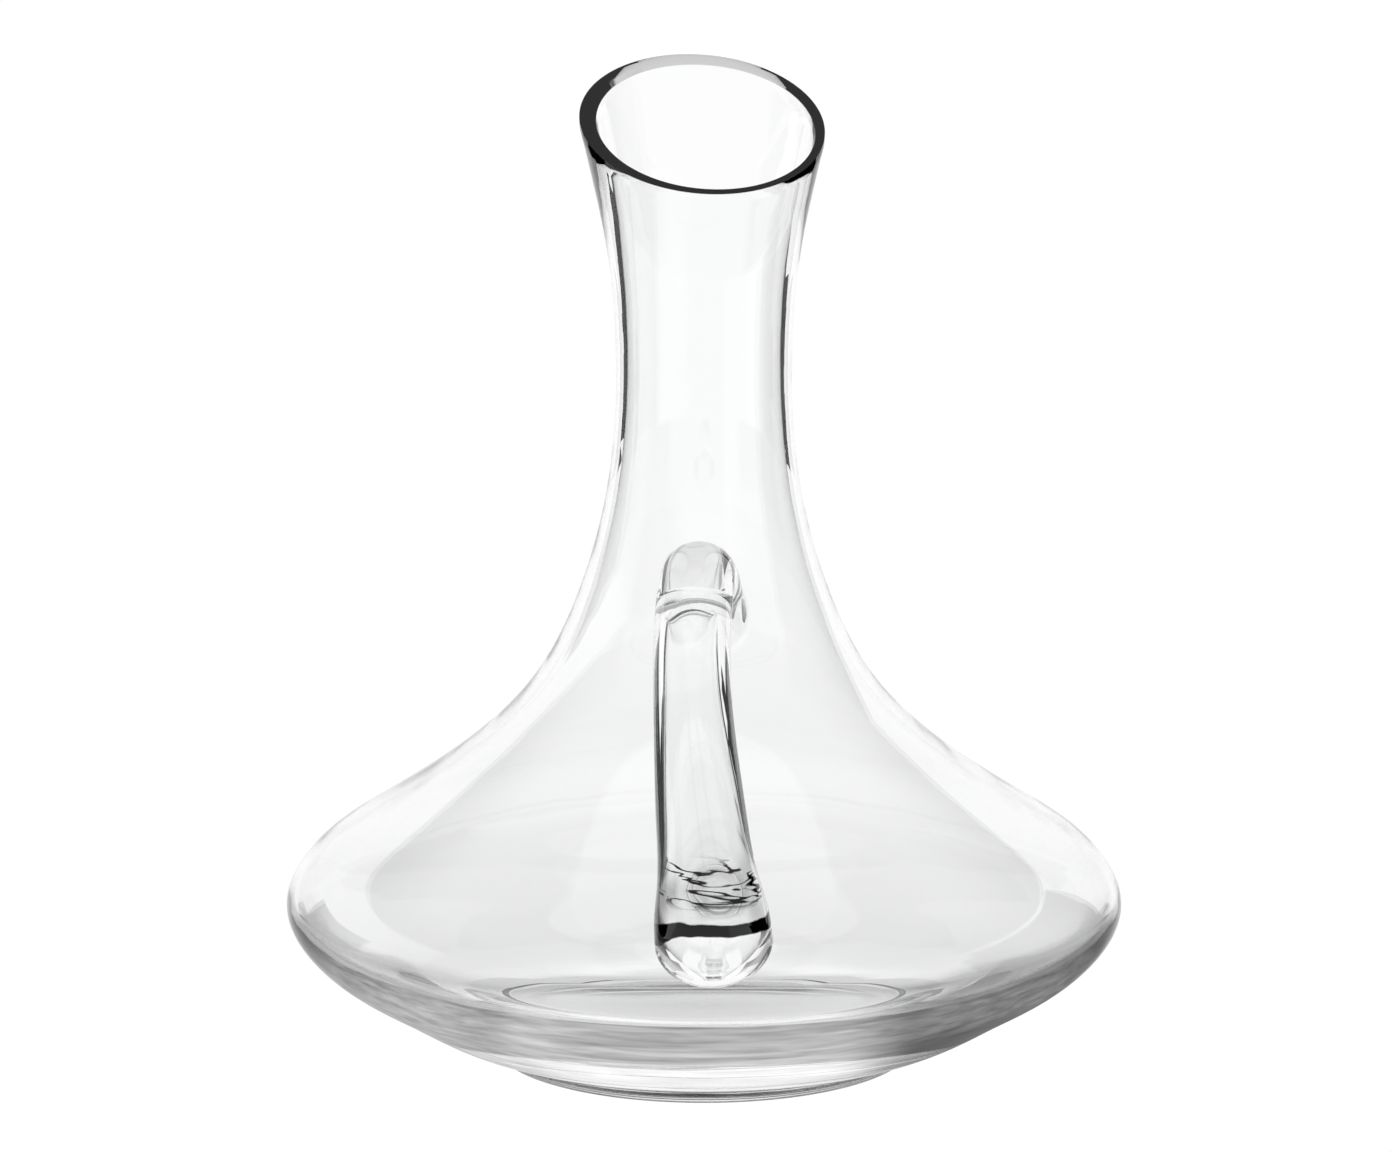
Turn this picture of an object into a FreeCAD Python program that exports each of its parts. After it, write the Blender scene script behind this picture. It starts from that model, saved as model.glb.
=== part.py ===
import FreeCAD, Part
import os
from math import cos, pi, radians, sin

# A decanter blown in one piece of clear glass: a wide low bowl on a short
# foot, a slender neck cut off on the slant, and one solid glass rod for a
# handle, joined to the root of the neck and free at its lower end.
# Millimetres, +Z up. The origin is the middle of the circle it stands on.
# The handle lies over -Y and the high side of the mouth looks to +Y.

# Driving dimensions of the vessel
bowl_radius = 108.0
bowl_height = 40.0
foot_radius = 55.0
foot_height = 3.5
foot_ring = 47.0
foot_hollow = 1.6
neck_radius = 22.5
neck_height = 181.0
mouth_radius = 31.2
mouth_height = 239.0
mouth_slant = 25.5
mouth_turn = 8.0

# Thickness of the glass
wall_bowl = 2.7
wall_neck = 3.0
wall_mouth = 3.7
floor_height = 6.4

# Driving dimensions of the handle
rod_radius = 9.4
root_radius = 11.0
knob_radius = 14.0
knob_length = 10.6
root_height = 117.0
arch_rise = 16.0
arch_reach = 52.0
knob_overhang = 15.0
knob_lift = 19.7
rod_sway = 2.9
root_fillet = 3.0

# Places that follow from these
arch_height = root_height + arch_rise
knob_reach = bowl_radius + knob_overhang
knob_height = bowl_height + knob_lift


def vec(x, y, z):
    return FreeCAD.Vector(x, y, z)


def smooth_curve(points):
    curve = Part.BSplineCurve()
    curve.interpolate(points)
    return curve


def edges_along(curve, points):
    # The curve as a chain of edges that meet at the given points, so that
    # bowl, shoulder, root of the neck and neck are faces of their own
    ends = [curve.parameter(point) for point in points]
    return [Part.Edge(curve, ends[i], ends[i + 1]) for i in range(len(ends) - 1)]


# Outside of the wall, from the crease over the foot to above the mouth.
# The bowl swells to its widest, the shoulder turns in and rises in one
# hollow sweep, and the neck opens again towards the mouth.
foot_step = foot_radius + 1.5
belly = bowl_radius - foot_step
rise = bowl_height - foot_height
shoulder = bowl_radius - neck_radius
climb = neck_height - bowl_height
flare = mouth_radius - neck_radius
lift = mouth_height - neck_height

outside_points = [
    vec(foot_step, 0, foot_height),
    vec(foot_step + 0.277 * belly, 0, foot_height + 0.137 * rise),
    vec(foot_step + 0.549 * belly, 0, foot_height + 0.356 * rise),
    vec(foot_step + 0.876 * belly, 0, foot_height + 0.671 * rise),
    vec(bowl_radius, 0, bowl_height),
    vec(neck_radius + 0.950 * shoulder, 0, bowl_height + 0.071 * climb),
    vec(neck_radius + 0.773 * shoulder, 0, bowl_height + 0.156 * climb),
    vec(neck_radius + 0.462 * shoulder, 0, bowl_height + 0.284 * climb),
    vec(neck_radius + 0.252 * shoulder, 0, bowl_height + 0.411 * climb),
    vec(neck_radius + 0.108 * shoulder, 0, bowl_height + 0.582 * climb),
    vec(neck_radius + 0.021 * shoulder, 0, bowl_height + 0.787 * climb),
    vec(neck_radius, 0, neck_height),
    vec(neck_radius + 0.234 * flare, 0, neck_height + 0.465 * lift),
    vec(neck_radius + 0.920 * flare, 0, neck_height + 0.948 * lift),
    vec(neck_radius + 1.690 * flare, 0, neck_height + 1.466 * lift),
]
outside = smooth_curve(outside_points)


def wall_at(height):
    # Thin in the bowl, thicker up the neck, thickest at the mouth
    if height < bowl_height:
        return wall_bowl
    if height < neck_height:
        part = (height - bowl_height) / (neck_height - bowl_height)
        return wall_bowl + (wall_neck - wall_bowl) * part
    part = min(1.0, (height - neck_height) / (mouth_height - neck_height))
    return wall_neck + (wall_mouth - wall_neck) * part


def inward(point):
    # The point of the inner face that lies straight across the wall
    here = outside.parameter(point)
    along = outside.tangent(here)[0]
    normal = vec(-along.z, 0, along.x)
    return point + normal * wall_at(point.z)


# Inside of the wall: the outside set in by the thickness of the glass,
# joined by a soft corner to a floor that rises a little to its middle
inside_points = [inward(point) for point in outside_points[1:]]
corner = vec(foot_radius - 3.5, 0, floor_height + 0.8)
floor_edge = vec(foot_radius - 13.0, 0, floor_height)
inside_through = [floor_edge, corner] + inside_points
inside = smooth_curve(inside_through)
floor_middle = vec(0, 0, floor_height + 0.6)
floor_half = vec(0.5 * floor_edge.x, 0, floor_height + 0.25)
floor_curve = smooth_curve([floor_middle, floor_half, floor_edge])

# Foot: a shallow hollow beneath, a flat ring to stand on, an eased edge
under_middle = vec(0, 0, foot_hollow)
under_half = vec(0.6 * foot_ring, 0, 0.72 * foot_hollow)
ring_inner = vec(foot_ring, 0, 0)
ring_outer = vec(foot_radius - 1.6, 0, 0)
bevel_top = vec(foot_radius, 0, 1.6)
crease = vec(foot_radius, 0, foot_height - 0.3)
top_outer = outside_points[-1]
top_inner = inside_points[-1]

outer_edges = [
    Part.Arc(under_middle, under_half, ring_inner).toShape(),
    Part.LineSegment(ring_inner, ring_outer).toShape(),
    Part.LineSegment(ring_outer, bevel_top).toShape(),
    Part.LineSegment(bevel_top, crease).toShape(),
    Part.LineSegment(crease, outside_points[0]).toShape(),
    *edges_along(outside, [outside_points[i] for i in (0, 4, 8, 10, -1)]),
    Part.LineSegment(top_outer, vec(0, 0, top_outer.z)).toShape(),
    Part.LineSegment(vec(0, 0, top_outer.z), under_middle).toShape(),
]
outer_face = Part.Face(Part.Wire(outer_edges))
outer_solid = outer_face.revolve(vec(0, 0, 0), vec(0, 0, 1), 360)

cavity_top = top_inner.z + 20.0
cavity_edges = [
    floor_curve.toShape(),
    *edges_along(inside, [inside_through[i] for i in (0, 5, 9, 11, -1)]),
    Part.LineSegment(top_inner, vec(top_inner.x, 0, cavity_top)).toShape(),
    Part.LineSegment(vec(top_inner.x, 0, cavity_top), vec(0, 0, cavity_top)).toShape(),
    Part.LineSegment(vec(0, 0, cavity_top), floor_middle).toShape(),
]
cavity_face = Part.Face(Part.Wire(cavity_edges))
cavity = cavity_face.revolve(vec(0, 0, 0), vec(0, 0, 1), 360)

# Centre line of the handle: out of the root of the neck, over a round arch,
# then down and outwards past the shoulder, swaying a little on the way.
# Each entry is reach from the axis, height, sideways sway, radius.
slope_reach = knob_reach - arch_reach
slope_fall = arch_height - knob_height
swell = knob_radius - rod_radius
stations = [
    (16.0, root_height - 9.0, 0.0, root_radius + 1.6),
    (28.0, root_height + 1.0, 0.0, root_radius),
    (38.5, root_height + 0.68 * (arch_height - root_height), -0.15, rod_radius + 0.5),
    (arch_reach, arch_height, -0.5, rod_radius),
    (arch_reach + 0.19 * slope_reach, arch_height - 0.06 * slope_fall, -0.85, rod_radius),
    (arch_reach + 0.38 * slope_reach, arch_height - 0.22 * slope_fall, -1.0, rod_radius),
    (arch_reach + 0.57 * slope_reach, arch_height - 0.43 * slope_fall, -0.75, rod_radius + 0.10 * swell),
    (arch_reach + 0.74 * slope_reach, arch_height - 0.64 * slope_fall, -0.25, rod_radius + 0.31 * swell),
    (arch_reach + 0.89 * slope_reach, arch_height - 0.845 * slope_fall, 0.35, rod_radius + 0.63 * swell),
    (arch_reach + 0.95 * slope_reach, arch_height - 0.93 * slope_fall, 0.60, rod_radius + 0.92 * swell),
    (knob_reach, knob_height, 0.80, knob_radius),
]
spine_points = [vec(s[2] * rod_sway, -s[0], s[1]) for s in stations]
spine = smooth_curve(spine_points)


def ring_at(point, radius):
    # A round section square to the centre line
    along = spine.tangent(spine.parameter(point))[0]
    side = vec(1, 0, 0)
    turn = FreeCAD.Rotation(side, along.cross(side), along, "ZXY")
    ring = Part.Wire(Part.makeCircle(radius))
    ring.Placement = FreeCAD.Placement(point, turn)
    return ring


rings = [ring_at(p, s[3]) for p, s in zip(spine_points, stations)]
rod = Part.makeLoft(rings, True, False)

# Free end of the handle: half an egg on the last section
end_point = spine_points[-1]
end_along = spine.tangent(spine.parameter(end_point))[0]
quarter = Part.Ellipse(vec(0, 0, 0), knob_radius, knob_length)
egg_edge = Part.Edge(quarter, 0, pi / 2)
egg_side = Part.LineSegment(vec(0, knob_length, 0), vec(0, 0, 0)).toShape()
egg_base = Part.LineSegment(vec(0, 0, 0), vec(knob_radius, 0, 0)).toShape()
egg_face = Part.Face(Part.Wire([egg_edge, egg_side, egg_base]))
egg = egg_face.revolve(vec(0, 0, 0), vec(0, 1, 0), 360)
egg_turn = FreeCAD.Rotation(vec(1, 0, 0), end_along, vec(0, 0, 1), "YXZ")
egg.Placement = FreeCAD.Placement(end_point, egg_turn)
handle = rod.fuse(egg)

# The rod is melted onto the neck; the corner where they meet runs soft
joined = outer_solid.fuse(handle)


def at_root(edge):
    box = edge.BoundBox
    near_neck = box.YMin > -arch_reach and box.YMax < -15.0
    near_root = box.ZMin > root_height - 25.0 and box.ZMax < root_height + 28.0
    return near_neck and near_root and edge.Length > 2.0


root_edges = [edge for edge in joined.Edges if at_root(edge)]
print("edges at the root of the handle", len(root_edges))
if root_fillet > 0 and root_edges:
    softened = joined.makeFillet(root_fillet, root_edges)
    if softened.isValid():
        joined = softened

vessel = joined.cut(cavity)

# The mouth is sawn off on the slant and polished flat
reach = 4.0 * mouth_radius
slant_block = Part.makeBox(2 * reach, 2 * reach, 3 * reach, vec(-reach, -reach, 0))
slant_block.rotate(vec(0, 0, 0), vec(1, 0, 0), mouth_slant)
slant_block.rotate(vec(0, 0, 0), vec(0, 0, 1), mouth_turn)
slant_block.translate(vec(0, 0, mouth_height))
vessel = vessel.cut(slant_block)

solid = vessel.Solids[0]
print("solids", len(vessel.Solids), "valid", solid.isValid())
print("box", solid.BoundBox)
print("glass in cubic centimetres", round(solid.Volume / 1000, 1))

os.makedirs("parts", exist_ok=True)
solid.exportStep("parts/decanter.step")
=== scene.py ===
# %% [markdown]
# # A clear glass decanter with a rod handle
#
# The real object is blown by hand from one gather of clear glass: a wide low
# bowl on a short foot, a slender neck that opens again and is sawn off on the
# slant, and a thick glass rod that is melted onto the root of the neck, drawn
# up in an arch and let down in front of the bowl, where it ends in a knob.
#
# It could be put together from a few primitives, but glass shows both of its
# faces at once, so the thickness of the wall is the picture. This scene works
# out every face of the one solid with formulas on grids, and joins the grids
# vertex to vertex, so that light meets one closed piece of glass.

from math import cos, pi, radians, sin, tan

import bpy
import numpy as np
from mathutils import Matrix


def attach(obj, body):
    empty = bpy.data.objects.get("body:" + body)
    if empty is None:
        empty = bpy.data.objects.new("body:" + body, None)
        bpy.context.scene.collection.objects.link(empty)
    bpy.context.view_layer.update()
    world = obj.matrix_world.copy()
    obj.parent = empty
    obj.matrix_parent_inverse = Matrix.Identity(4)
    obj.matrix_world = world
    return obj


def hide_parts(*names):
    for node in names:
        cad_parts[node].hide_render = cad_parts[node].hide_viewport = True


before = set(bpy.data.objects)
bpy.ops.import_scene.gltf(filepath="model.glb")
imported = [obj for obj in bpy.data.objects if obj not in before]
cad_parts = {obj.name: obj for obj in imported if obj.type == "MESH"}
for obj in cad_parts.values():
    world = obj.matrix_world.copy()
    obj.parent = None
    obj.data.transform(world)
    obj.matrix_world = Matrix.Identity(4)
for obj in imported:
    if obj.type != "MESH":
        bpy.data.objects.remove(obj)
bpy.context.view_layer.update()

# %% [markdown]
# ## The camera
#
# The photograph was taken with a long lens from a little above the mouth. Its
# place, tilt and lens were fitted to the outline of the bowl, the slant of the
# mouth and the ring of the foot, which together leave only one answer.

# %% Set the camera
camera_data = bpy.data.cameras.new("camera")
camera_data.sensor_fit = "HORIZONTAL"
camera_data.sensor_width = 36.0
camera_data.lens = 133.18
camera_data.shift_x = -0.005747
camera_data.clip_start = 0.05
camera_data.clip_end = 60.0
camera = bpy.data.objects.new("camera", camera_data)
camera.location = (0.0, -1.3, 0.36052)
camera.rotation_euler = (radians(79.715), 0.0, 0.0)
bpy.context.scene.collection.objects.link(camera)
bpy.context.scene.camera = camera
print("camera", tuple(camera.location), "lens", camera_data.lens)

# %% [markdown]
# ## A smooth line
#
# Hot glass has no corners: its outline bends as evenly as a thin strip of
# steel. A cubic line through a few measured points bends the same way, and it
# can be asked for a point or a direction anywhere along it.


# %% Define the smooth line
def smooth_line(points):
    """Between two points each coordinate is a cubic of the chord length. The
    bending carries on across each point and dies away at both ends. Returns
    the line as a function, and the length parameter of each point."""
    points = np.asarray(points, float)
    knots = np.concatenate([[0.0], np.cumsum(np.linalg.norm(np.diff(points, axis=0), axis=1))])
    step = np.diff(knots)
    count = len(points)
    system = np.eye(count)
    wanted = np.zeros_like(points)
    mid = np.arange(1, count - 1)
    system[mid, mid - 1] = step[:-1]
    system[mid, mid] = 2 * (step[:-1] + step[1:])
    system[mid, mid + 1] = step[1:]
    wanted[mid] = 6 * np.diff(np.diff(points, axis=0) / step[:, None], axis=0)
    bend = np.linalg.solve(system, wanted)

    def line(at, slope=False):
        at = np.asarray(at, float)
        cell = np.clip(np.searchsorted(knots, at, side="right") - 1, 0, count - 2)
        wide = step[cell][..., None]
        far = (at - knots[cell])[..., None] / wide
        near = 1 - far
        a, b = points[cell], points[cell + 1]
        m, n = bend[cell], bend[cell + 1]
        if slope:
            return (b - a) / wide + wide / 6 * ((3 * far**2 - 1) * n - (3 * near**2 - 1) * m)
        return near * a + far * b + wide**2 / 6 * ((near**3 - near) * m + (far**3 - far) * n)

    return line, knots


def spread(line, start, end, spacing):
    """Parameters between start and end whose points lie spacing(point) apart:
    the length of the line over the spacing is counted up, and cut evenly."""
    fine = np.linspace(start, end, 3000)
    points = line(fine)
    length = np.linalg.norm(np.diff(points, axis=0), axis=1)
    middle = (points[1:] + points[:-1]) / 2
    count = np.concatenate([[0.0], np.cumsum(length / spacing(middle))])
    even = np.linspace(0.0, count[-1], int(round(count[-1])) + 1)
    return np.interp(even, count, fine)


def soft_step(x):
    """0 below 0, 1 above 1, and 3x^2 - 2x^3 between them."""
    x = np.clip(x, 0.0, 1.0)
    return x * x * (3 - 2 * x)


def crossing(low, high, beyond):
    """Where a condition turns true between two arrays of values: the span
    from low to high is halved forty times towards the change."""
    for _ in range(40):
        middle = (low + high) / 2
        over = beyond(middle)
        high = np.where(over, middle, high)
        low = np.where(over, low, middle)
    return (low + high) / 2


print("a soft step halfway is", soft_step(0.5))

# %% [markdown]
# ## The outline of the vessel
#
# The outline is one line from the crease above the foot to past the mouth, as
# reach from the axis and height in millimetres. The inside is the same line
# set in by the thickness of the glass. The glass is thickest in the heel over
# the foot, thin in the bowl, where the bubble swelled most, and thicker again
# up the neck. An even shell would be simpler, but the lines that bent light
# draws in the lower bowl then lie elsewhere than in the photograph.

# %% Outline of the outside and the inside
outside_points = np.array([
    (56.50, 3.5), (70.77, 8.50), (84.77, 16.49), (101.61, 27.99), (108.0, 40.0),
    (103.73, 50.01), (88.59, 62.0), (62.0, 80.04), (44.05, 97.95), (31.73, 122.06),
    (24.30, 150.97), (22.5, 181.0), (24.54, 207.97), (30.50, 235.98), (37.20, 266.03),
])
outside, outside_knots = smooth_line(outside_points)
wall_heights = [3.5, 8.5, 16.5, 28.0, 40.0, 150.0, 181.0, 200.0, 220.0, 239.0]
wall_widths = [8.0, 7.4, 6.0, 4.2, 2.8, 2.75, 3.0, 3.45, 3.45, 3.75]


def wall_at(height):
    """Thickness of the glass at a height: straight lines between ten."""
    return np.interp(height, wall_heights, wall_widths)


along = outside(outside_knots, slope=True)
along /= np.linalg.norm(along, axis=1)[:, None]
outward = np.stack([along[:, 1], -along[:, 0]], axis=1)
inside_points = outside_points - outward * wall_at(outside_points[:, 1])[:, None]
floor_edge = (42.0, 6.4)
floor_corner = (51.5, 7.2)
inside_points = np.concatenate([[floor_edge, floor_corner], inside_points[1:]])
inside, inside_knots = smooth_line(inside_points)
print("outline of", len(outside_points), "points")
print("wall in the heel, the bowl and the mouth", wall_at([3.5, 40.0, 239.0]).tolist(), "mm")

# %% [markdown]
# ## The slanted mouth
#
# The neck was sawn off on the slant and the cut polished flat, which leaves a
# bright oval face with two eased edges. Each direction round the axis meets
# the plane of the cut at its own height, so the rings of the grid are
# stretched from a level one at the waist of the neck to the cut itself.
# Cutting the mesh with a plane would leave slivers along the edge.
#
# The bore stands a little off the centre of the outside, as the dark lines
# along the two sides of the neck show: it drifts as the glass is drawn out.
# Over the floor the inside has faint ripples, which break up the grey band
# that the heel of the bowl shows.

# %% Directions round the axis and the plane of the cut
around = 224
turn = -pi / 2 + 2 * pi * np.arange(around) / around
ray = np.stack([np.cos(turn), np.sin(turn)], axis=1)
mouth_height = 239.0
mouth_slope = tan(radians(25.5))
mouth_turn = radians(8.0)
uphill = np.array([-sin(mouth_turn), cos(mouth_turn)])
bore_shift = np.array([0.85, -0.8])
drift_from, drift_over = 200.0, 36.0
ripple_depth = 0.07
ripple_from, ripple_to = 7.5, 38.0


def above_cut(points):
    """Height of points over the plane of the cut."""
    return points[..., 2] - mouth_height - mouth_slope * (points[..., :2] @ uphill)


def outer_wall(at):
    """Points of the outside: reach times the direction, and the height.
    `at` has one value for each direction round the axis."""
    reach, height = np.moveaxis(outside(at), -1, 0)
    return np.stack([reach * ray[:, 0], reach * ray[:, 1], height], axis=-1)


def inner_wall(at):
    """Points of the inside, the same way. The bore drifts off the centre
    in the upper neck, and over the floor the wall stands in by the ripple
    depth times a sum of three waves round and up the bowl."""
    reach, height = np.moveaxis(inside(at), -1, 0)
    drift = soft_step((height - drift_from) / drift_over)
    low = soft_step((height - ripple_from) / 3.0) * soft_step((ripple_to - height) / 16.0)
    waves = 0.5 * np.sin(5 * turn + 0.85 * height + 1.0)
    waves = waves + 0.3 * np.sin(11 * turn - 1.2 * height)
    waves = waves + 0.2 * np.sin(3 * turn + 1.9 * height + 2.0)
    reach = reach - ripple_depth * low * (1 + waves)
    return np.stack([
        reach * ray[:, 0] + bore_shift[0] * drift,
        reach * ray[:, 1] + bore_shift[1] * drift,
        height,
    ], axis=-1)


def cut_parameter(wall, low, high):
    """Where each direction of a wall meets the plane of the cut."""
    return crossing(np.full(around, low), np.full(around, high), lambda at: above_cut(wall(at)) > 0)


outside_end = cut_parameter(outer_wall, outside_knots[11], outside_knots[-1])
inside_end = cut_parameter(inner_wall, inside_knots[12], inside_knots[-1])
mouth_rim = outer_wall(outside_end)
print("mouth from", mouth_rim[:, 2].min().round(1), "to", mouth_rim[:, 2].max().round(1), "mm")

# %% [markdown]
# ## The walls as grids
#
# Each wall is a grid of rings round the axis. The rings lie closer together
# where something happens: at the foot, at the root of the handle and over the
# floor. Even rings as fine as these would be far more than the rest needs.
# Above the waist of the neck every ring is stretched towards the cut.


# %% Grids of the two walls
def stretched(levels, hold, end):
    """Parameters for rings and directions: up to `hold` a ring is level, and
    from there to the last ring it is stretched to the end of its direction."""
    share = np.clip((levels - hold) / (levels[-1] - hold), 0, 1)[:, None]
    level = np.minimum(levels, hold)[:, None]
    return level + share * (end - hold)[None, :]


def outside_spacing(points):
    """Distance between rings of the outside: 1 mm at the root of the handle,
    1.3 mm just over the foot, else 2.2 mm."""
    height = points[:, 1]
    at_root = soft_step((height - 92) / 8) * soft_step((150 - height) / 8)
    at_foot = soft_step((9 - height) / 5)
    return 2.2 - 1.2 * at_root - 0.9 * at_foot


def inside_spacing(points):
    """Distance between rings of the inside: 1.6 mm at the floor's edge, else
    2.5 mm."""
    return 2.5 - 0.9 * soft_step((14 - points[:, 1]) / 6)


bevel_down = 1.2
outside_levels = spread(outside, outside_knots[0], outside_knots[13], outside_spacing)
outside_at = stretched(outside_levels, outside_knots[11], outside_end - bevel_down)
outer_rings = outer_wall(outside_at)
inside_levels = spread(inside, inside_knots[0], inside_knots[14], inside_spacing)
inside_at = stretched(inside_levels, inside_knots[12], inside_end - bevel_down)
inner_rings = inner_wall(inside_at)
print("rings outside", len(outer_rings), "inside", len(inner_rings))

# %% [markdown]
# ## The face of the mouth
#
# The cut is ground flat and polished, and a light touch of the wheel eases
# both of its edges, 0.3 mm across the face and 1.2 mm down the wall. A bevel
# modifier takes as much off each side of an edge, so the rings are placed here
# one by one, with one close to each side of every corner.


# %% Rings of the mouth
bevel_across = 0.3
outer_corner = outer_wall(outside_end)
inner_corner = inner_wall(inside_end)
mouth_across = inner_corner - outer_corner
mouth_width = np.linalg.norm(mouth_across, axis=1)[:, None]
outer_face = outer_corner + mouth_across / mouth_width * bevel_across
inner_face = inner_corner - mouth_across / mouth_width * bevel_across


def blend(start, end, shares):
    """Rings on the straight way from one ring to another, at the shares."""
    share = np.asarray(shares)[:, None, None]
    return (1 - share) * start + share * end


mouth_rings = np.concatenate([
    blend(outer_rings[-1], outer_face, [0.06, 0.5, 0.94, 1.0]),
    blend(outer_face, inner_face, [0.03, 0.5, 0.97, 1.0]),
    blend(inner_face, inner_rings[-1], [0.06, 0.5, 0.94]),
])
print("polished face is", mouth_width.min().round(2), "to", mouth_width.max().round(2), "mm wide")

# %% [markdown]
# ## The foot and the floor
#
# The decanter stands on a narrow flat ring round a shallow hollow, so that it
# doesn't rock. A crease parts the foot from the bowl. Inside, the floor rises
# a little to its middle. Squashed balls would be quicker, but the true foot
# has flats and corners, so a list of reaches and heights is carried round the
# axis, with the corners of the list rounded.


# %% Foot, floor and the whole vessel
def turned(profile):
    """Rings from a profile of reach and height carried round the axis."""
    reach, height = np.asarray(profile, float).T
    flat = reach[:, None, None] * ray[None]
    level = np.broadcast_to(height[:, None, None], flat.shape[:2] + (1,))
    return np.concatenate([flat, level], axis=2)


def soft_profile(corners, reach, count):
    """A profile with its inner corners rounded: each is replaced by a
    parabola that starts and ends `reach` of it away."""
    corners = np.asarray(corners, float)
    inner = corners[1:-1]
    before = corners[:-2] - inner
    after = corners[2:] - inner
    reach = np.asarray(reach, float)[:, None]
    start = inner + before / np.linalg.norm(before, axis=1)[:, None] * reach
    end = inner + after / np.linalg.norm(after, axis=1)[:, None] * reach
    share = np.linspace(0, 1, count)[None, :, None]
    arcs = (1 - share) ** 2 * start[:, None] + share**2 * end[:, None]
    arcs = arcs + 2 * share * (1 - share) * inner[:, None]
    return np.concatenate([corners[:1], arcs.reshape(-1, 2), corners[-1:]])


foot_hollow = 1.6
foot_ring = 47.0
floor_middle = 7.0
hollow_reach = np.linspace(2.5, 44.0, 14)
hollow = np.stack([hollow_reach, foot_hollow * (1 - (hollow_reach / foot_ring) ** 2)], axis=1)
ring_edge = soft_profile(
    [hollow[-1], (46.6, 0.0), (53.6, 0.0), (55.0, 1.5), (55.0, 3.3), outside_points[0]],
    [0.7, 0.7, 0.7, 0.35], 4,
)[1:-1]
foot_rings = turned(np.concatenate([hollow, ring_edge]))

floor_line, floor_knots = smooth_line([floor_edge, (21.0, 6.65), (0.0, floor_middle)])
floor_rings = turned(floor_line(np.linspace(floor_knots[0], floor_knots[2], 16)[1:-1]))

vessel_rings = np.concatenate([
    foot_rings, outer_rings, mouth_rings, inner_rings[::-1], floor_rings,
])
first_outer = len(foot_rings)
print("vessel grid", vessel_rings.shape[:2])

# %% [markdown]
# ## The centre line of the handle
#
# The rod leaves the root of the neck, climbs over a round arch, and comes down
# and outwards past the shoulder. It swells to a knob as it falls, because the
# soft glass runs down into its free end, and it sways a little, because it was
# drawn by hand. A bent tube has one thickness, so the centre line carries the
# radius as a fourth coordinate. Each station is reach, height, sway, radius.

# %% Rod of the handle
stations = np.array([
    (16.0, 108.0, 0.0, 12.6), (28.0, 118.0, 0.0, 11.0), (38.5, 127.88, -0.15, 9.9),
    (52.0, 133.0, -0.5, 9.4), (65.49, 128.6, -0.85, 9.4), (78.98, 116.87, -1.0, 9.4),
    (92.47, 101.48, -0.75, 9.86), (104.54, 86.09, -0.25, 10.83), (115.19, 71.06, 0.35, 12.3),
    (119.45, 64.83, 0.6, 13.63), (123.0, 59.7, 0.8, 14.0),
])
rod_sway = 2.9
knob_length = 10.6
rod_line, rod_knots = smooth_line(np.stack([
    stations[:, 2] * rod_sway, -stations[:, 0], stations[:, 1], stations[:, 3],
], axis=1))
rod_start, rod_end = rod_knots[0], rod_knots[-1]


def rod_frame(at):
    """Centre, radius and the three directions of the rod: along it, to its
    side, and square to both."""
    line = rod_line(at)
    tangent = rod_line(at, slope=True)[..., :3]
    tangent = tangent / np.linalg.norm(tangent, axis=-1, keepdims=True)
    side = np.array([1.0, 0.0, 0.0]) - tangent * tangent[..., :1]
    side = side / np.linalg.norm(side, axis=-1, keepdims=True)
    return line[..., :3], line[..., 3:], tangent, side, np.cross(tangent, side)


def rod_face(at, angle):
    """Points of the rod's face: the centre line plus the radius times the
    cosine and sine of the angle along the two directions across it."""
    centre, radius, _, side, up = rod_frame(at)
    return centre + radius * (np.cos(angle)[..., None] * side + np.sin(angle)[..., None] * up)


print("rod of", len(stations), "stations, about", (rod_end - rod_start).round(), "mm long")

# %% [markdown]
# ## Where the rod meets the neck
#
# The rod is pressed onto the neck while both are soft, so the corner between
# them fills up and there is no seam. A boolean union would leave a sharp
# corner and an uneven mesh, so the seam line is found first: every line along
# the rod is followed to the point where it leaves the neck. A soft band then
# runs from a little outside that line to a little up the rod.


# %% Seam line and soft band
def neck_reach(height):
    """Reach of the outside of the neck at a height."""
    table = outside(np.linspace(outside_knots[6], outside_knots[12], 800))
    return np.interp(height, table[:, 1], table[:, 0])


angles = np.linspace(-pi, pi, 721)


def has_left_neck(at):
    """Whether the rod's face lies outside the neck, for each of the angles."""
    point = rod_face(at, angles)
    return np.hypot(point[:, 0], point[:, 1]) > neck_reach(point[:, 2])


seam_at = crossing(
    np.full(len(angles), rod_start), np.full(len(angles), rod_knots[3]), has_left_neck)
seam = rod_face(seam_at, angles)

unroll_reach = 33.0
seam_flat = np.stack([
    (np.arctan2(seam[:, 1], seam[:, 0]) + pi / 2) * unroll_reach, seam[:, 2],
], axis=1)
seam_slope = np.gradient(seam_flat, angles, axis=0)
seam_slope[[0, -1]] = (seam_flat[1] - seam_flat[-2]) / (angles[1] - angles[-2] + 2 * pi)
seam_out = np.stack([seam_slope[:, 1], -seam_slope[:, 0]], axis=1)
seam_out /= np.linalg.norm(seam_out, axis=1)[:, None]
band = 1.6
band_flat = seam_flat + band * seam_out
band_at = seam_at + band / np.linalg.norm(
    (rod_face(seam_at + 0.1, angles) - seam) / 0.1, axis=1)
print("seam from", seam[:, 2].min().round(1), "to", seam[:, 2].max().round(1), "mm up")

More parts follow.
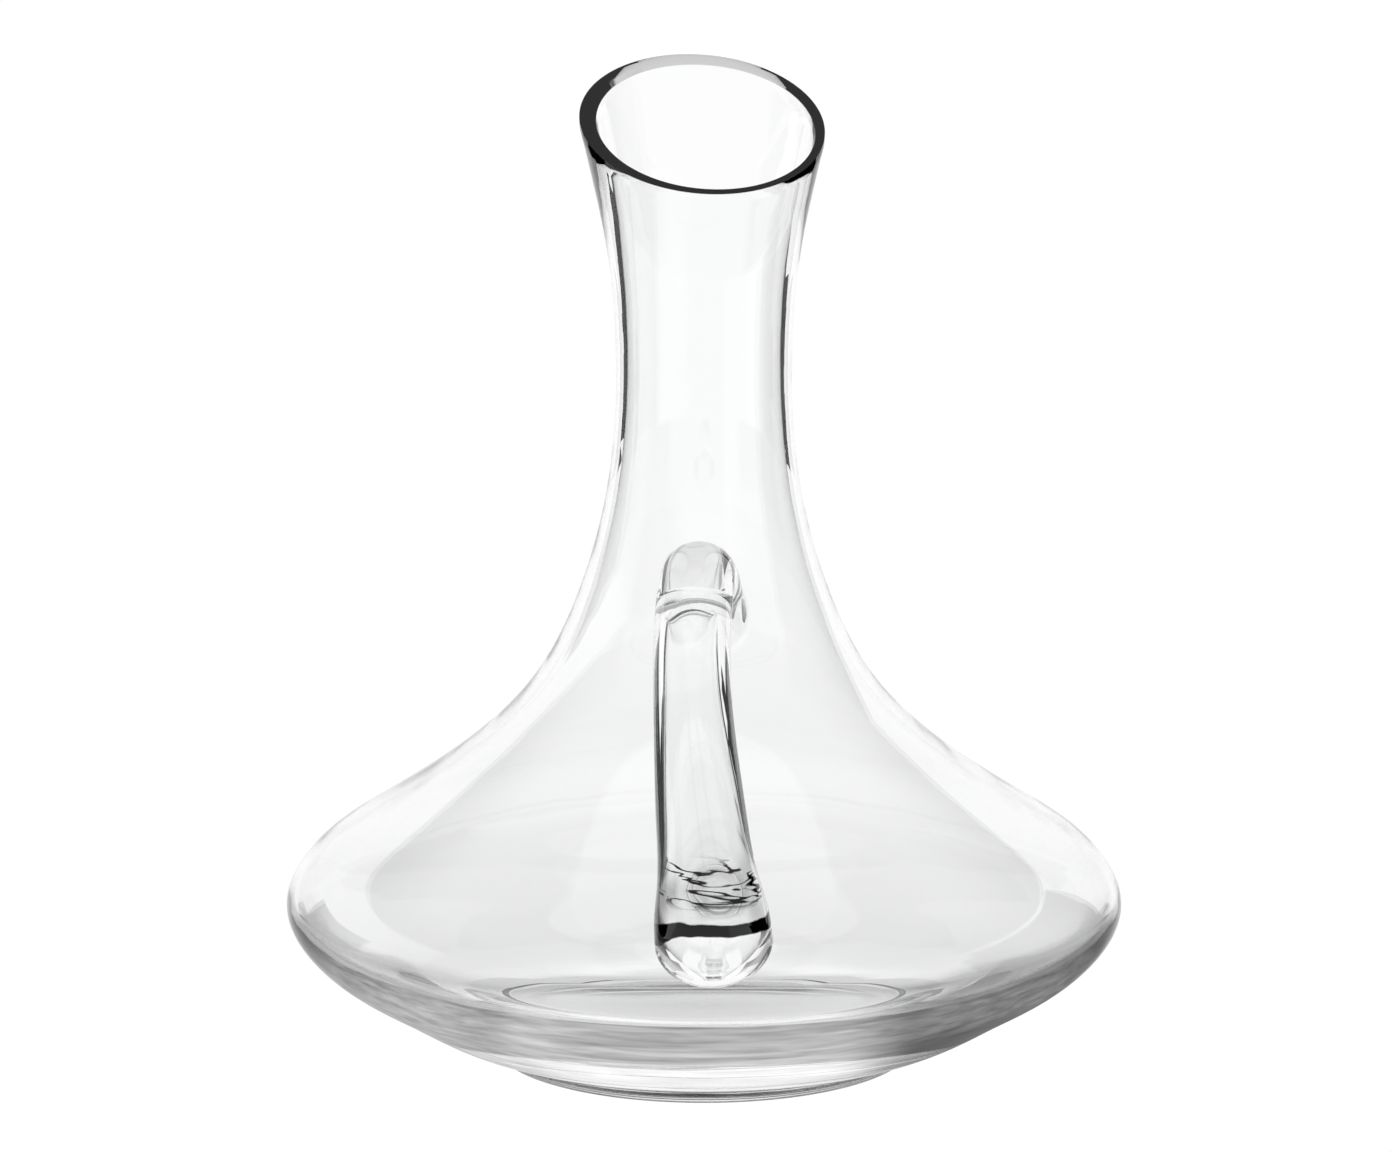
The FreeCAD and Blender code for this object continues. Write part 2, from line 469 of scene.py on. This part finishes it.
# %% [markdown]
# ## The window in the vessel's grid
#
# A rectangle of cells round the root is taken out of the vessel's grid. The
# rod's rings start from the vertices along its edge, so the two grids share
# them and the glass has no gap and no inner wall. Each vertex of the edge gets
# the rod's angle that lies in the same direction from the middle of the root.
# Two meshes that only overlap would look the same in clay, but in glass every
# hidden face shows.

# %% The window and its edge
ring_height = vessel_rings[first_outer:first_outer + len(outer_rings), 0, 2]
low_row = first_outer + int(np.searchsorted(ring_height, band_flat[:, 1].min() - 3.0))
high_row = first_outer + int(np.searchsorted(ring_height, band_flat[:, 1].max() + 3.0))
half_columns = int(np.ceil((band_flat[:, 0].max() + 2.5) / unroll_reach / (2 * pi / around)))
rows = np.arange(low_row, high_row)
columns = np.arange(-half_columns, half_columns)
edge_rows = np.concatenate([
    np.arange(low_row, high_row), np.full(2 * half_columns, high_row),
    np.arange(high_row, low_row, -1), np.full(2 * half_columns, low_row),
])
edge_columns = np.concatenate([
    np.full(len(rows), half_columns), np.arange(half_columns, -half_columns, -1),
    np.full(len(rows), -half_columns), np.arange(-half_columns, half_columns),
])
edge_vertices = edge_rows * around + edge_columns % around
edge_points = vessel_rings.reshape(-1, 3)[edge_vertices]
edge_flat = np.stack([
    edge_columns * (2 * pi / around) * unroll_reach, edge_points[:, 2],
], axis=1)

middle_flat = (seam_flat.min(axis=0) + seam_flat.max(axis=0)) / 2
seam_angle = np.unwrap(np.arctan2(*(band_flat - middle_flat).T[::-1]))
edge_angle = np.arctan2(*(edge_flat - middle_flat).T[::-1])
edge_angle = (edge_angle - seam_angle[0]) % (2 * pi) + seam_angle[0]
rod_angle = np.interp(edge_angle, seam_angle, angles)
rod_count = len(rod_angle)


print("window", len(rows), "by", len(columns), "cells, rod of", rod_count, "vertices round")

# %% [markdown]
# ## The rings of the rod
#
# One grid of rings runs from the edge of the window to the tip of the knob.
# It crosses the neck to the soft band, bends over the seam, evens out along
# the rod and closes with half an egg, because the free end of a soft rod
# draws itself round but stays flatter than a ball.


# %% From the window to the tip of the knob
def at_angle(table, angle):
    """A table kept for `angles`, read at other angles round the rod."""
    angle = (angle + pi) % (2 * pi) - pi
    if table.ndim == 1:
        return np.interp(angle, angles, table)
    return np.stack([np.interp(angle, angles, column) for column in table.T], axis=1)


def eased_corner(start, corner, end, count):
    """Rings of a soft corner: a parabola that leaves `start` towards the
    corner and arrives at `end` from the corner, without its first point."""
    share = np.linspace(0, 1, count + 1)[1:, None, None]
    return (1 - share) ** 2 * start + 2 * share * (1 - share) * corner + share**2 * end


def on_neck(flat):
    """Points of the neck from the unrolled place: direction and height."""
    angle = flat[..., 0] / unroll_reach - pi / 2
    reach = neck_reach(flat[..., 1])
    return np.stack([reach * np.cos(angle), reach * np.sin(angle), flat[..., 1]], axis=-1)


# From the window's edge to the soft band, across the neck
share = np.linspace(0, 1, 6)[1:, None, None]
neck_part = on_neck((1 - share) * edge_flat + share * at_angle(band_flat, rod_angle))

# The soft band: a parabola from the neck over the seam to the rod
band_start = neck_part[-1]
band_corner = at_angle(seam, rod_angle)
band_end = rod_face(at_angle(band_at, rod_angle), rod_angle)
band_part = eased_corner(band_start, band_corner, band_end, 9)

# Along the rod: the rings even out as they leave the neck
lean = np.linspace(0, 1, 92)[1:, None]
even_angle = rod_angle[0] + np.linspace(0, 2 * pi, rod_count, endpoint=False)
turned_to = np.unwrap(rod_angle)
settle = soft_step(lean / 0.5)
ring_angle = turned_to * (1 - settle) + (even_angle + np.mean(turned_to - even_angle)) * settle
ring_at = at_angle(band_at, rod_angle)[None] * (1 - lean) + rod_end * lean
rod_part = rod_face(ring_at, ring_angle)

# The free end: half an egg on the last ring
egg = np.linspace(0, pi / 2, 15)[1:-1, None]
centre, radius, tangent, side, up = rod_frame(np.array([rod_end]))
egg_ring = np.cos(ring_angle[-1])[:, None] * side + np.sin(ring_angle[-1])[:, None] * up
egg_part = (centre + radius * np.cos(egg)[..., None] * egg_ring[None]
            + knob_length * np.sin(egg)[..., None] * tangent)
egg_tip = (centre + knob_length * tangent)[0]
rod_rings = np.concatenate([neck_part, band_part, rod_part, egg_part])
print("rod grid", rod_rings.shape[:2], "tip", egg_tip.round(1).tolist())

# %% [markdown]
# ## One closed piece
#
# The grids become one closed skin. Four corners of a cell make a face, and a
# pole closes the underside, the floor and the tip of the knob. Merging nearby
# vertices would join them too, but might also join what only lies close, so
# both grids number the edge of the window alike. The signed volume tells
# whether every face looks outwards and how much glass there is.


# %% Join the grids
def cells(first, second):
    """Faces between two closed rings of vertex numbers, one ring to a row."""
    after_first, after_second = np.roll(first, -1, axis=-1), np.roll(second, -1, axis=-1)
    return np.stack([first, after_first, after_second, second], axis=-1)


vessel_count = vessel_rings.shape[0] * around
vessel_index = np.arange(vessel_count).reshape(-1, around)
vessel_cells = cells(vessel_index[:-1], vessel_index[1:])
kept = np.ones(vessel_cells.shape[:2], bool)
kept[np.ix_(rows, columns % around)] = False
rod_index = vessel_count + np.arange(rod_rings.shape[0] * rod_count).reshape(-1, rod_count)
rod_index = np.concatenate([edge_vertices[None], rod_index])
rod_cells = cells(rod_index[:-1], rod_index[1:])
quads = np.concatenate([vessel_cells[kept], rod_cells.reshape(-1, 4)])

pole_points = np.array([(0, 0, foot_hollow), (0, 0, floor_middle), egg_tip])
points = np.concatenate([vessel_rings.reshape(-1, 3), rod_rings.reshape(-1, 3), pole_points])
under, floor_pole, tip_pole = len(points) - 3, len(points) - 2, len(points) - 1


def fan(ring, pole, downwards=False):
    """Three-cornered faces from a closed ring to a pole."""
    following = np.roll(ring, -1)
    pair = (following, ring) if downwards else (ring, following)
    return np.stack([*pair, np.full(len(ring), pole)], axis=1)


fans = np.concatenate([
    fan(vessel_index[0], under, downwards=True),
    fan(vessel_index[-1], floor_pole),
    fan(rod_index[-1], tip_pole),
])

# The vertices inside the window are left out
used = np.zeros(len(points), bool)
used[quads.ravel()] = True
used[fans.ravel()] = True
new_number = np.cumsum(used) - 1
points, quads, fans = points[used], new_number[quads], new_number[fans]

three = np.concatenate([quads[:, [0, 1, 2]], quads[:, [0, 2, 3]], fans])
corner = points[three]
six_volumes = np.einsum("ij,ij->i", corner[:, 0], np.cross(corner[:, 1], corner[:, 2]))
glass_volume = float(six_volumes.sum()) / 6 / 1000
print("vertices", len(points), "triangles", len(three), "glass", round(glass_volume, 1), "cubic cm")

# %% [markdown]
# ## The piece in the scene
#
# The real decanter is one piece, and here it is one object, in metres. It
# rides on the packed body and stands in for the plain solid.
# Faces could be added one by one, but whole arrays fill the mesh at once.

# %% Make the mesh and hang it on the body
glass_mesh = bpy.data.meshes.new("glass_decanter")
glass_mesh.vertices.add(len(points))
glass_mesh.vertices.foreach_set("co", (points / 1000).astype(np.float32).ravel())
corners = np.concatenate([quads.ravel(), fans.ravel()]).astype(np.int32)
sizes = np.concatenate([np.full(len(quads), 4), np.full(len(fans), 3)]).astype(np.int32)
glass_mesh.loops.add(len(corners))
glass_mesh.loops.foreach_set("vertex_index", corners)
glass_mesh.polygons.add(len(sizes))
starts = np.concatenate([[0], np.cumsum(sizes)[:-1]]).astype(np.int32)
glass_mesh.polygons.foreach_set("loop_start", starts)
glass_mesh.update(calc_edges=True)
glass_mesh.polygons.foreach_set("use_smooth", np.ones(len(sizes), bool))
print("mesh valid", not glass_mesh.validate(verbose=True))
decanter = bpy.data.objects.new("glass_decanter", glass_mesh)
bpy.context.scene.collection.objects.link(decanter)
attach(decanter, "root")
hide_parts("decanter")

# %% [markdown]
# ## Writing a finish as a formula
#
# A finish is a small calculation at each point of the surface. Wiring it by
# hand hides the thought, so one class wraps a socket and lets Python's own
# operators add the Math nodes, and one method adds any other node. A few
# short methods name the nodes that come up again and again.


# %% Helpers for finishes
def plug(tree, socket, value):
    """Puts a number, a colour or another node's output into a socket."""
    if isinstance(value, Wire):
        tree.links.new(value.socket, socket)
    else:
        socket.default_value = value


class Wire:
    """The value that leaves one socket. Sums with it are Math nodes."""

    def __init__(self, tree, socket):
        self.tree = tree
        self.socket = socket

    def _sum(self, operation, first, second):
        node = self.tree.nodes.new("ShaderNodeMath")
        node.operation = operation
        plug(self.tree, node.inputs[0], first)
        plug(self.tree, node.inputs[1], second)
        return Wire(self.tree, node.outputs[0])

    def __add__(self, other):
        return self._sum("ADD", self, other)

    def __sub__(self, other):
        return self._sum("SUBTRACT", self, other)

    def __rsub__(self, other):
        return self._sum("SUBTRACT", other, self)

    def __mul__(self, other):
        return self._sum("MULTIPLY", self, other)

    def __truediv__(self, other):
        return self._sum("DIVIDE", self, other)

    def __rtruediv__(self, other):
        return self._sum("DIVIDE", other, self)

    def __pow__(self, other):
        return self._sum("POWER", self, other)

    def __rpow__(self, other):
        return self._sum("POWER", other, self)

    def __abs__(self):
        return self._sum("ABSOLUTE", self, 0.0)

    def larger(self, other):
        """The larger of this value and another."""
        return self._sum("MAXIMUM", self, other)

    __radd__ = __add__
    __rmul__ = __mul__


class Finish:
    """A material under construction, with its output node in place."""

    def __init__(self, name):
        self.material = bpy.data.materials.new(name)
        self.material.use_nodes = True
        self.tree = self.material.node_tree
        self.tree.nodes.clear()

    def add(self, kind, settings=None, out=0, **sockets):
        """Adds a node of a kind: its settings first, then its sockets by
        name, with _ for a space, and gives back one of its outputs."""
        node = self.tree.nodes.new(kind)
        for name, value in (settings or {}).items():
            setattr(node, name, value)
        for name, value in sockets.items():
            plug(self.tree, node.inputs[name.replace("_", " ")], value)
        return Wire(self.tree, node.outputs[out])

    def soft(self, value, start, end, low=0.0, high=1.0):
        """A soft step: low where the value is `start`, high where it is `end`."""
        return self.add("ShaderNodeMapRange", {"interpolation_type": "SMOOTHSTEP"}, Value=value,
                        From_Min=start, From_Max=end, To_Min=low, To_Max=high)

    def noise(self, vector, **sockets):
        """Smooth noise in space, from 0 to 1."""
        return self.add("ShaderNodeTexNoise", Vector=vector, **sockets)

    def scaled(self, vector, scale):
        """A place with each axis scaled: more scale makes noise shorter."""
        return self.add("ShaderNodeMapping", Vector=vector, Scale=scale)

    def axes(self, vector):
        """The X, Y and Z of a place."""
        outputs = self.add("ShaderNodeSeparateXYZ", Vector=vector).socket.node.outputs
        return [Wire(self.tree, output) for output in outputs]

    def mixed(self, first, second, share):
        """A colour on the way from the first to the second, by a share."""
        mix = self.add("ShaderNodeMix", {"data_type": "RGBA"}, out=2, Factor=share)
        ends = [socket for socket in mix.socket.node.inputs if socket.type == "RGBA"]
        plug(self.tree, ends[0], first)
        plug(self.tree, ends[1], second)
        return mix

    def grey(self, value):
        """A value as a grey colour."""
        return self.add("ShaderNodeCombineColor", Red=value, Green=value, Blue=value)

    def show(self, surface):
        """Ends the material with this surface."""
        end = self.tree.nodes.new("ShaderNodeOutputMaterial")
        self.tree.links.new(surface.socket, end.inputs["Surface"])
        return self.material


print("finishes know", [name for name in vars(Finish) if not name.startswith("_")])

# %% [markdown]
# ## Clear glass
#
# The glass is nearly colourless and nearly smooth. What shows that it is hand
# work are long soft waves drawn round and up the wall, a breath of haze on the
# ring that it stands on, scratched by many tables, and a hardly visible tint
# that varies with the melt. The waves could be cut into the mesh, but they are
# lower than its cells are wide, so they are a bump, and the haze is roughness.

# %% Waves, haze and tint
glass = Finish("clear_glass")
place = glass.add("ShaderNodeTexCoord", out=3)
to_right, to_back, height = glass.axes(place)
drawn = glass.scaled(place, (1.0, 1.0, 2.6))
waves = glass.noise(drawn, Scale=26.0, Detail=1.0, Roughness=0.35)
ripple = glass.noise(drawn, Scale=90.0, Detail=0.0, Roughness=0.3)
wavy = glass.add("ShaderNodeBump", Strength=0.25, Distance=0.0006, Height=waves + ripple * 0.12)
scratches = glass.noise(place, Scale=900.0, Detail=3.0)
haze = glass.soft(height, 0.0006, 0.0001) * (0.08 + 0.25 * scratches)
melt = glass.noise(place, Scale=9.0, Detail=2.0)
tint = glass.mixed((0.984, 0.990, 0.988, 1.0), (0.996, 0.998, 0.997, 1.0), melt)
print("waves, haze and tint of", len(glass.tree.nodes), "nodes")

# %% [markdown]
# ## Painted dark lines in the knob
#
# In the photograph dark wavy lines run round the knob, one heavy band with
# thin lines over it, where the knob bends the view to dark things round the
# foot. Glass shaped to bend it so would need a form that doesn't show in one
# photograph, so they are painted shade, a dark mask in its colour. The band
# follows a height that swings a little and slumps to the left. The thin lines
# are contours of a noise that is pressed flat, on the front of the knob only.

# %% Painted dark band and lines of the knob
black = (0.0, 0.0, 0.0, 1.0)
band_middle = 0.0652
band_core, band_edge = 0.0013, 0.0017
swing = (glass.noise(place, Scale=110.0, Detail=2.0, Roughness=0.5) - 0.5) * 0.002
slump = glass.soft(to_right, -0.004, -0.0125, 0.0, 0.0034)
off_band = abs(height - (band_middle + swing - slump))
swelling = slump * 0.35
in_painted_band = glass.soft(off_band, band_edge + swelling, band_core + swelling)
pressed = glass.scaled(place, (0.7, 1.0, 5.5))
# Painted shade: thin dark lines on the knob's front, from a noise pressed flat.
knob_painted_line_noise = glass.noise(pressed, Scale=75.0, Detail=2.0, Roughness=0.5, Distortion=0.6)
on_painted_line = glass.soft(abs(knob_painted_line_noise - 0.5), 0.05, 0.02)
painted_line_zone = glass.soft(height, 0.0685, 0.0705) * glass.soft(height, 0.0810, 0.0780)
knob_front = glass.soft(to_back, -0.118, -0.121)
# Painted shade of the knob: the dark band and the thin lines, on its front only.
knob_painted_shade = in_painted_band.larger(on_painted_line * painted_line_zone) * knob_front
knob_with_painted_shade = glass.mixed(tint, black, knob_painted_shade)
print("knob band", round(band_middle * 1000, 1), "mm up,", len(glass.tree.nodes), "nodes so far")

# %% [markdown]
# ## The cut face
#
# Polishing leaves the cut of the mouth clear, but it looks down into the thick
# wall and shows as a grey oval. A rougher face would blur what lies behind it,
# so that grey is painted shade in its colour, on the last tenth of a millimetre.

# %% Painted shade of the cut face
cut_painted_grey = (0.45, 0.45, 0.455, 1.0)
cut_from, cut_full = mouth_height - 0.12, mouth_height - 0.03
level_height = height - (to_right * uphill[0] + to_back * uphill[1]) * mouth_slope
# Painted shade: the cut face is greyed in the glass's colour.
on_cut_painted = glass.soft(level_height, cut_from / 1000, cut_full / 1000)
# The glass's own tint, with the painted shade of the knob and of the cut face.
tint_and_painted_shade = glass.mixed(knob_with_painted_shade, cut_painted_grey, on_cut_painted)
print("cut face from", cut_from, "to", cut_full, "mm on the axis")

# %% [markdown]
# ## Light in the heel
#
# The heel of the bowl leads light round the foot by reflections from inside,
# more of them than the renderer follows by default, and without them its
# sides come out dark. A faint glow in long streaks stands in for that light:
# in the front of the heel, weaker low on the right. It is fitted to the
# photograph's side, and shows as streaks from behind.

# %% Streaks of led light, and the whole glass
heel_light = 0.082
swept = glass.scaled(place, (0.22, 1.0, 3.0))
# Painted light: the heel glows in these streaks, though the glass is no lamp.
glow_streak_noise = glass.noise(swept, Scale=130.0, Detail=2.0, Roughness=0.5, Distortion=0.4)
streaks = glass.soft(glow_streak_noise, 0.35, 0.65, 0.4, 1.6)
heel = glass.soft(height, 0.042, 0.022) * glass.soft(height, 0.004, 0.009)
heel_front = glass.soft(to_back, -0.015, -0.05)
dimmed = glass.soft(to_right, 0.03, 0.052, 0.0, 0.9) * glass.soft(height, 0.030, 0.022)
led = heel * heel_front * streaks * heel_light * (1.0 - dimmed)
body = glass.add("ShaderNodeBsdfPrincipled", Base_Color=tint_and_painted_shade, Roughness=haze, Normal=wavy,
                 IOR=1.5, Transmission_Weight=1.0, Emission_Color=glass.grey(led),
                 Emission_Strength=1.0)
decanter.data.materials.append(glass.show(body))
print("glass finish of", len(glass.tree.nodes), "nodes")

# %% [markdown]
# ## The floor of the studio
#
# Clear glass is drawn by what stands round it. Here it stands on a white sheet
# that is as bright as the backdrop, so that the two run together. A lit sheet
# would take its tone from every lamp, so this one glows evenly. All sheets and
# papers of the studio are made the same way, as grids of points with a glow,
# and none of them is part of the decanter.

# %% Floor, and how sheets are made
white = 1.02


def glow(finish, tone):
    """Ends a finish as a plain grey light of this tone."""
    if isinstance(tone, Wire):
        return finish.show(finish.add("ShaderNodeEmission", Color=finish.grey(tone), Strength=1.0))
    return finish.show(finish.add("ShaderNodeEmission", Color=(1.0, 1.0, 1.0, 1.0), Strength=tone))


def sheet_of(name, grid, material):
    """A sheet from a grid of points in metres, and its material."""
    index = np.arange(grid.shape[0] * grid.shape[1]).reshape(grid.shape[:2])
    faces = np.stack([index[:-1, :-1], index[:-1, 1:], index[1:, 1:], index[1:, :-1]], axis=-1)
    mesh = bpy.data.meshes.new(name)
    mesh.from_pydata(grid.reshape(-1, 3).tolist(), [], faces.reshape(-1, 4).tolist())
    mesh.materials.append(material)
    thing = bpy.data.objects.new(name, mesh)
    bpy.context.scene.collection.objects.link(thing)
    return thing


def beside_camera(thing):
    """Only the glass sees this thing."""
    thing.visible_camera = False
    thing.visible_diffuse = False
    thing.visible_shadow = False


floor_side = np.linspace(-14.0, 14.0, 9)
floor_grid = np.stack([*np.meshgrid(floor_side, floor_side), np.full((9, 9), -0.0003)], axis=-1)
floor = sheet_of("floor", floor_grid, glow(Finish("white_sheet"), white))
print("floor", floor_side[-1] - floor_side[0], "m wide")

# %% [markdown]
# ## Black cards
#
# Photographers of glass stand black cards at both sides, just outside the
# picture. The edges of the glass bend the view round to them, and that draws
# its dark lines. Dark glass would be dark all over. Each side has a tall card,
# a low strip that reaches further in, and a dark stretch of table before them,
# from which the lines along the neck come. Straight boards would do in a real
# studio, but bent ones keep one distance from the glass.


# %% Cards and dark tables
def bent(first, last, away, low, high):
    """Grid of a paper bent round the decanter: directions in degrees from +Y
    towards -X, distance from the axis, and heights."""
    direction, level = np.meshgrid(np.radians(np.linspace(first, last, 33)), [low, high])
    return np.stack([-away * np.sin(direction), away * np.cos(direction), level], axis=-1)


def lying(first, last, near, far, height):
    """Grid of a paper lying flat between two distances from the axis."""
    direction, reach = np.meshgrid(np.radians(np.linspace(first, last, 33)), [near, far])
    level = np.full(reach.shape, height)
    return np.stack([-reach * np.sin(direction), reach * np.cos(direction), level], axis=-1)


def card(name, grid):
    """A black card, which still gives back a hundredth of the light."""
    beside_camera(sheet_of(name, grid, glow(Finish(name + "_paper"), 0.01)))


card_away = 1.5
card_level = 0.0005
strip_top = 0.05
table_near, table_far_near = 0.56, 1.0
tall_end, strip_end, near_end = 46.0, 37.0, 38.0
for side_name, sign, far_end, tall in (("left", 1, 77.0, 0.42), ("right", -1, 105.0, 0.85)):
    turned_by = [sign * end for end in (near_end, strip_end, tall_end, far_end)]
    near_turn, strip_turn, tall_turn, far_turn = turned_by
    card(side_name + "_card", bent(tall_turn, far_turn, card_away, 0.0, tall))
    card(side_name + "_strip", bent(strip_turn, tall_turn, card_away, 0.0, strip_top))
    card(side_name + "_table", lying(tall_turn, far_turn, table_near, card_away, card_level))
    card(side_name + "_table_far",
         lying(near_turn, tall_turn, table_far_near, card_away, card_level))
    print(side_name, "card from", tall_turn, "to", far_turn, "degrees,", tall, "m tall")

# %% [markdown]
# ## Grey papers
#
# The front of the bowl mirrors the room, and a bare white room would wash out
# what lies behind. Grey papers hang round the decanter, over and in front of
# it, and each fades from one tone to another with its height, as paper does in
# light that falls off.

# %% Papers and ceiling
paper_away = 0.56
paper_top = 1.3


def paper(name, first, last, low, tone, fade_from, fade_to, high_tone):
    """Grey paper bent round the decanter, from the height `low` up. Its tone
    changes softly to the high tone between two heights."""
    finish = Finish(name + "_paper")
    here = finish.add("ShaderNodeTexCoord", out=3)
    grey = finish.soft(finish.axes(here)[2], fade_from, fade_to, tone, high_tone)
    beside_camera(sheet_of(name, bent(first, last, paper_away, low, paper_top), glow(finish, grey)))


def disc(reaches, height, corners):
    """Grid of a round sheet: rings at these reaches, each with its corners."""
    direction, reach = np.meshgrid(np.linspace(0.0, 2 * pi, corners + 1), reaches)
    level = np.full(reach.shape, height)
    return np.stack([reach * np.cos(direction), reach * np.sin(direction), level], axis=-1)


paper("above_left", 37, 105, 0.35, 0.25, 0.35, 0.7, 0.6)
paper("in_front", 105, 205, 0.0, 0.7, 0.2, 0.4, 0.55)
paper("in_front_right", -155, -105, 0.25, 0.9, 0.25, 0.5, 0.55)
paper("above_right", -105, -37, 0.35, 0.25, 0.35, 0.7, 0.6)
paper("above_back", -37, 37, 0.9, 1.0, 0.9, 1.0, 0.35)
ceiling_grid = disc([0.001, paper_away], paper_top, 64)
beside_camera(sheet_of("ceiling", ceiling_grid, glow(Finish("ceiling_paper"), white)))
print("papers", paper_away, "m away, ceiling", paper_top, "m up")

# %% [markdown]
# ## The sheet near the glass
#
# Where something stands on a white sheet, the sheet gets darker round it. The
# glass bends the view down to this ground, so its tone shows in the bowl,
# while the camera itself looks past it. Lamps would give such a shade too, but
# with no way to set how deep it is, so it is worked out from direction and
# distance, and fitted to the tones of the bowl in the photograph.

# %% Tone of the sheet near the glass
near = Finish("sheet_near_glass")
here = near.add("ShaderNodeTexCoord", out=3)
apart = near.add("ShaderNodeVectorMath", {"operation": "LENGTH"}, out=1, Vector=here)
near_right, near_back, _ = near.axes(here)
rightwards, backwards = near_right / apart, near_back / apart
past_foot = near.soft(apart, 0.048, 0.066)
far_out = near.soft(apart, 0.16, 0.3)
beside = near.soft(backwards, 0.66, 0.2) * near.soft(backwards, -0.92, -0.6)
near_shade = past_foot * (1.0 - far_out) * beside * near.soft(rightwards, -1.0, 1.0, 0.35, 0.7)
far_shade = far_out * near.soft(abs(rightwards), 0.74, 0.86, 0.0, 0.8)
front_shade = far_out * near.soft(backwards, -0.2, -0.9, 0.0, 0.3)
falls = 1.0 - 0.55 * 2.718 ** (apart * -9.0)
near_tone = falls * (1.0 - near_shade) * (1.0 - far_shade) * (1.0 - front_shade)
near_grid = disc(np.linspace(0.0005, 0.55, 14), -0.00015, 96)
beside_camera(sheet_of("sheet_near_glass", near_grid, glow(near, near_tone)))
print("near sheet of", len(near.tree.nodes), "nodes")

# %% [markdown]
# ## Backdrop and lamp
#
# The backdrop is as white as the floor, so it needs no wall of its own: the
# world is that white all round. One wide soft lamp overhead adds the sheen on
# rim and shoulder. A strong one would burn bright patches into the bowl.

# %% World, lamp and view
world = bpy.data.worlds.new("studio")
world.use_nodes = True
world.node_tree.nodes["Background"].inputs["Color"].default_value = (1.0, 1.0, 1.0, 1.0)
world.node_tree.nodes["Background"].inputs["Strength"].default_value = white
scene = bpy.context.scene
scene.world = world

lamp_data = bpy.data.lights.new("overhead", "AREA")
lamp_data.shape = "RECTANGLE"
lamp_data.size = 0.7
lamp_data.size_y = 0.5
lamp_data.energy = 0.1
lamp = bpy.data.objects.new("overhead", lamp_data)
lamp.location = (-0.25, -0.1, 1.3)
lamp.rotation_euler = (0.0, radians(-10.0), 0.0)
scene.collection.objects.link(lamp)

scene.view_settings.view_transform = "Standard"
scene.view_settings.look = "None"
print("world", white, "lamp", round(lamp_data.energy, 2), "W, stage set")

# %% [markdown]
